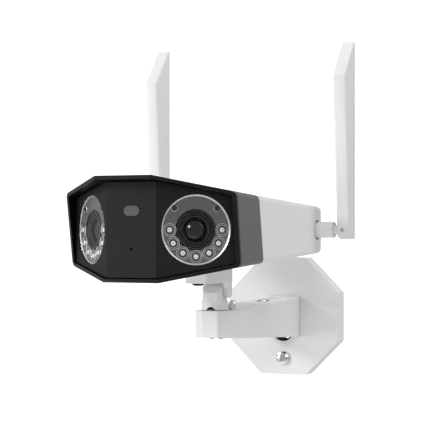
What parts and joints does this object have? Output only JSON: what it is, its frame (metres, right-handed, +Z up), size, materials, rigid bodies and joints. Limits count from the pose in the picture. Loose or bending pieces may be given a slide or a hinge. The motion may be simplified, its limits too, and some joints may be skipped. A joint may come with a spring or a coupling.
{
  "type": "security camera",
  "caption": "Dual-lens outdoor security camera with a hooded octagonal head, folding blade antennas and a swivelling, tilting wall bracket",
  "frame": {"origin": "on the wall face, at the middle of the octagonal wall plate", "axes": "+Z up, +Y into the wall, the lenses face -Y and +X is to the right of someone facing the lenses"},
  "size_m": [0.1328, 0.2328, 0.2077],
  "materials": {
    "black_gloss": "glossy black plastic",
    "charcoal": "dark grey satin-gloss plastic",
    "band_grey": "mid-grey satin plastic",
    "white_plastic": "white satin plastic",
    "bracket_white": "white painted metal, satin",
    "clear_window": "clear window, glossy",
    "reflector_grey": "grey plastic with bright lamp cups",
    "board_green": "solder-masked circuit board with dark parts",
    "board_white": "white solder-masked lamp board",
    "lens_black": "black plastic",
    "lens_glass": "coated optical glass",
    "rubber": "matt black rubber",
    "chrome": "polished",
    "dark_screw": "blackened steel",
    "steel": "zinc-plated steel",
    "aluminium": "plain, sawn and bead-blasted",
    "diffuser": "milky translucent plastic"
  },
  "bodies": {
    "wall_mount": {"base_cover": "bracket_white", "wall_plate": "steel", "bracket_arm": "bracket_white", "lock_screw": "chrome", "acorn_nut": "chrome", "pocket_screw": "steel", "arm_screw_left": "steel", "arm_screw_right": "steel", "cable_grommet": "rubber"},
    "swivel": {"swivel_post": "bracket_white", "pan_plate": "steel", "pan_screw_1": "dark_screw", "pan_screw_2": "dark_screw", "tilt_bolt": "chrome", "cable_plug": "rubber"},
    "head": {"antenna_socket_left": "rubber", "antenna_socket_right": "rubber", "cable_gland": "rubber", "front_bezel": "black_gloss", "front_panel": "charcoal", "heat_spreader": "aluminium", "hood_band": "band_grey", "housing_gasket": "rubber", "housing_shell": "white_plastic", "ir_board_left": "board_white", "ir_board_right": "board_white", "lens_barrel_left": "lens_black", "lens_barrel_right": "lens_black", "lens_glass_left": "lens_glass", "lens_glass_right": "lens_glass", "lens_holder_left": "lens_black", "lens_holder_right": "lens_black", "lens_window_left": "clear_window", "lens_window_right": "clear_window", "main_board": "board_green", "mic_boot": "rubber", "reflector_left": "reflector_grey", "reflector_right": "reflector_grey", "sensor_board_left": "board_green", "sensor_board_right": "board_green", "service_board": "board_green", "service_cover": "white_plastic", "service_screw_1": "steel", "service_screw_2": "steel", "speaker": "dark_screw", "status_board": "board_green", "status_window": "diffuser", "tilt_nut": "steel", "tilt_yoke": "bracket_white", "yoke_screw_1": "steel", "yoke_screw_2": "steel"},
    "antenna_base_left": {"antenna_stub_left": "white_plastic", "antenna_retainer_left": "dark_screw"},
    "antenna_base_right": {"antenna_stub_right": "white_plastic", "antenna_retainer_right": "dark_screw"},
    "antenna_left": {"antenna_blade_left": "white_plastic", "antenna_pin_left": "steel"},
    "antenna_right": {"antenna_blade_right": "white_plastic", "antenna_pin_right": "steel"},
    "reset_key": {"reset_button": "black_gloss"}
  },
  "joints": [
    {"name": "pan", "type": "hinge", "parent": "wall_mount", "child": "swivel", "pos_m": [0, -0.1178, 0.0088], "axis": [0, 0, 1], "range_deg": [-90, 90]},
    {"name": "tilt", "type": "hinge", "parent": "swivel", "child": "head", "pos_m": [0, -0.1158, 0.0204], "axis": [1, 0, 0], "range_deg": [-20, 35]},
    {"name": "antenna_swivel_left", "type": "hinge", "parent": "head", "child": "antenna_base_left", "pos_m": [-0.05, -0.0666, 0.056], "axis": [1, 0, 0], "range_deg": [-90, 90]},
    {"name": "antenna_swivel_right", "type": "hinge", "parent": "head", "child": "antenna_base_right", "pos_m": [0.05, -0.0666, 0.056], "axis": [1, 0, 0], "range_deg": [-90, 90]},
    {"name": "antenna_fold_left", "type": "hinge", "parent": "antenna_base_left", "child": "antenna_left", "pos_m": [-0.062, -0.0666, 0.056], "axis": [0, -1, 0], "range_deg": [0, 90]},
    {"name": "antenna_fold_right", "type": "hinge", "parent": "antenna_base_right", "child": "antenna_right", "pos_m": [0.062, -0.0666, 0.056], "axis": [0, 1, 0], "range_deg": [0, 90]},
    {"name": "reset_press", "type": "slide", "parent": "head", "child": "reset_key", "axis": [0, -0.055, 0.9985], "range_m": [0, 0.0004], "stiffness_N_per_m": 1500, "springref_m": -0.0004}
  ]
}
